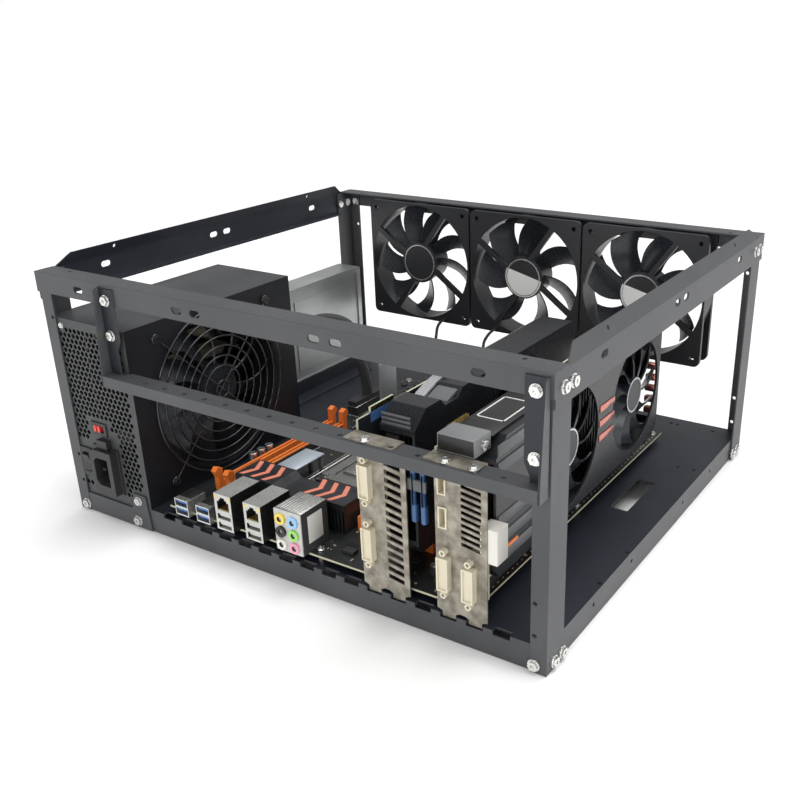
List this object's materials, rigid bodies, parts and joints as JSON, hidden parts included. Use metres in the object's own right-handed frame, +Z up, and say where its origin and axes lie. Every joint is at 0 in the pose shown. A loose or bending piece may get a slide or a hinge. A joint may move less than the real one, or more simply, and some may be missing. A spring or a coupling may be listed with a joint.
{
  "type": "mini tower pc case",
  "caption": "Open steel frame for a computer, filled with a power supply, main board, two large graphics cards, a drive and a row of fans that turn.",
  "frame": {"origin": "on the surface it stands on, at the middle of the outline", "axes": "+X to the right along the front, +Y to the rear, +Z up; the ports face -Y"},
  "size_m": [0.4556, 0.4072, 0.2145],
  "materials": {
    "coated_steel": "fine textured satin black powder coat",
    "plated_steel": "bright nickel plate",
    "black_screws": "black oxide",
    "supply_steel": "matt black coat",
    "black_wire": "gloss black coat on wire",
    "black_plastic": "moulded, fine grain",
    "red_plastic": "gloss",
    "circuit_board": "black solder resist",
    "port_metal": "bright pressed sheet",
    "audio_plastic": "moulded block",
    "cooling_fins": "dark anodised",
    "socket_metal": "pressed steel and nickel",
    "orange_plastic": "moulded",
    "small_parts": "mixed electronic parts",
    "bracket_metal": "nickel plate with a warm tint",
    "cream_plastic": "moulded",
    "shroud_plastic": "moulded, satin",
    "drive_metal": "cast base with a plain cover",
    "cable_rubber": "sleeved cable"
  },
  "bodies": {
    "chassis": {"audio_ports": "audio_plastic", "base_tray": "coated_steel", "board_parts": "small_parts", "board_standoffs": "plated_steel", "card_a_board": "circuit_board", "card_a_bracket": "bracket_metal", "card_a_heatsink": "cooling_fins", "card_a_shroud": "shroud_plastic", "card_b_board": "circuit_board", "card_b_bracket": "bracket_metal", "card_b_heatsink": "cooling_fins", "card_b_shroud": "shroud_plastic", "card_rail": "coated_steel", "card_rail_left_hanger": "coated_steel", "card_rail_right_hanger": "coated_steel", "card_slots": "orange_plastic", "case_fan_frame_1": "black_plastic", "case_fan_frame_2": "black_plastic", "case_fan_frame_3": "black_plastic", "cpu_socket": "socket_metal", "drive_bracket": "coated_steel", "fan_leads": "cable_rubber", "fan_screws": "black_screws", "frame_nuts": "plated_steel", "frame_screws": "plated_steel", "front_left_post": "coated_steel", "front_right_post": "coated_steel", "front_top_rail": "coated_steel", "hard_drive": "drive_metal", "left_side_rail": "coated_steel", "loom_plug": "black_plastic", "main_board": "circuit_board", "memory_slots": "orange_plastic", "network_ports": "port_metal", "power_loom": "cable_rubber", "psu_case": "supply_steel", "psu_circuit_board": "circuit_board", "psu_cover": "supply_steel", "psu_fan_frame": "black_plastic", "psu_fan_grill": "black_wire", "psu_mouldings": "black_plastic", "psu_retainer": "coated_steel", "rear_left_post": "coated_steel", "rear_right_post": "coated_steel", "rear_top_rail": "coated_steel", "right_side_rail": "coated_steel", "small_screws": "plated_steel", "usb_ports": "port_metal", "video_sockets": "cream_plastic", "vrm_heatsink": "cooling_fins"},
    "case_fan_rotor_1_body": {"case_fan_rotor_1": "black_plastic"},
    "case_fan_rotor_2_body": {"case_fan_rotor_2": "black_plastic"},
    "case_fan_rotor_3_body": {"case_fan_rotor_3": "black_plastic"},
    "psu_fan_rotor_body": {"psu_fan_rotor": "black_plastic"},
    "card_a_fan_rotor_body": {"card_a_fan_rotor": "black_plastic"},
    "card_b_fan_rotor_1_body": {"card_b_fan_rotor_1": "black_plastic"},
    "card_b_fan_rotor_2_body": {"card_b_fan_rotor_2": "black_plastic"},
    "psu_rocker_body": {"psu_rocker": "black_plastic"},
    "psu_voltage_slider_body": {"psu_voltage_slider": "red_plastic"},
    "socket_lever_body": {"socket_lever": "plated_steel"}
  },
  "joints": [
    {"name": "case_fan_1_spin", "type": "hinge", "parent": "chassis", "child": "case_fan_rotor_1_body", "pos_m": [-0.118, 0.17435, 0.144], "axis": [0, 1, 0], "continuous": true},
    {"name": "case_fan_2_spin", "type": "hinge", "parent": "chassis", "child": "case_fan_rotor_2_body", "pos_m": [0.004, 0.17435, 0.144], "axis": [0, 1, 0], "continuous": true},
    {"name": "case_fan_3_spin", "type": "hinge", "parent": "chassis", "child": "case_fan_rotor_3_body", "pos_m": [0.126, 0.17435, 0.144], "axis": [0, 1, 0], "continuous": true},
    {"name": "psu_fan_spin", "type": "hinge", "parent": "chassis", "child": "psu_fan_rotor_body", "pos_m": [-0.15, -0.10015, 0.095], "axis": [1, 0, 0], "continuous": true},
    {"name": "card_a_fan_spin", "type": "hinge", "parent": "chassis", "child": "card_a_fan_rotor_body", "pos_m": [0.1042, -0.02831, 0.098], "axis": [1, 0, 0], "continuous": true},
    {"name": "card_b_fan_1_spin", "type": "hinge", "parent": "chassis", "child": "card_b_fan_rotor_1_body", "pos_m": [0.16516, -0.06615, 0.098], "axis": [1, 0, 0], "continuous": true},
    {"name": "card_b_fan_2_spin", "type": "hinge", "parent": "chassis", "child": "card_b_fan_rotor_2_body", "pos_m": [0.16516, 0.05185, 0.098], "axis": [1, 0, 0], "continuous": true},
    {"name": "psu_rocker_tilt", "type": "hinge", "parent": "chassis", "child": "psu_rocker_body", "pos_m": [-0.2045, -0.18665, 0.047], "axis": [1, 0, 0], "range_deg": [-8, 8]},
    {"name": "psu_voltage_slide", "type": "slide", "parent": "chassis", "child": "psu_voltage_slider_body", "axis": [1, 0, 0], "range_m": [0, 0.0042]},
    {"name": "socket_lever_lift", "type": "hinge", "parent": "chassis", "child": "socket_lever_body", "pos_m": [-0.0465, -0.02065, 0.0306], "axis": [-1, 0, 0], "range_deg": [0, 110]}
  ]
}
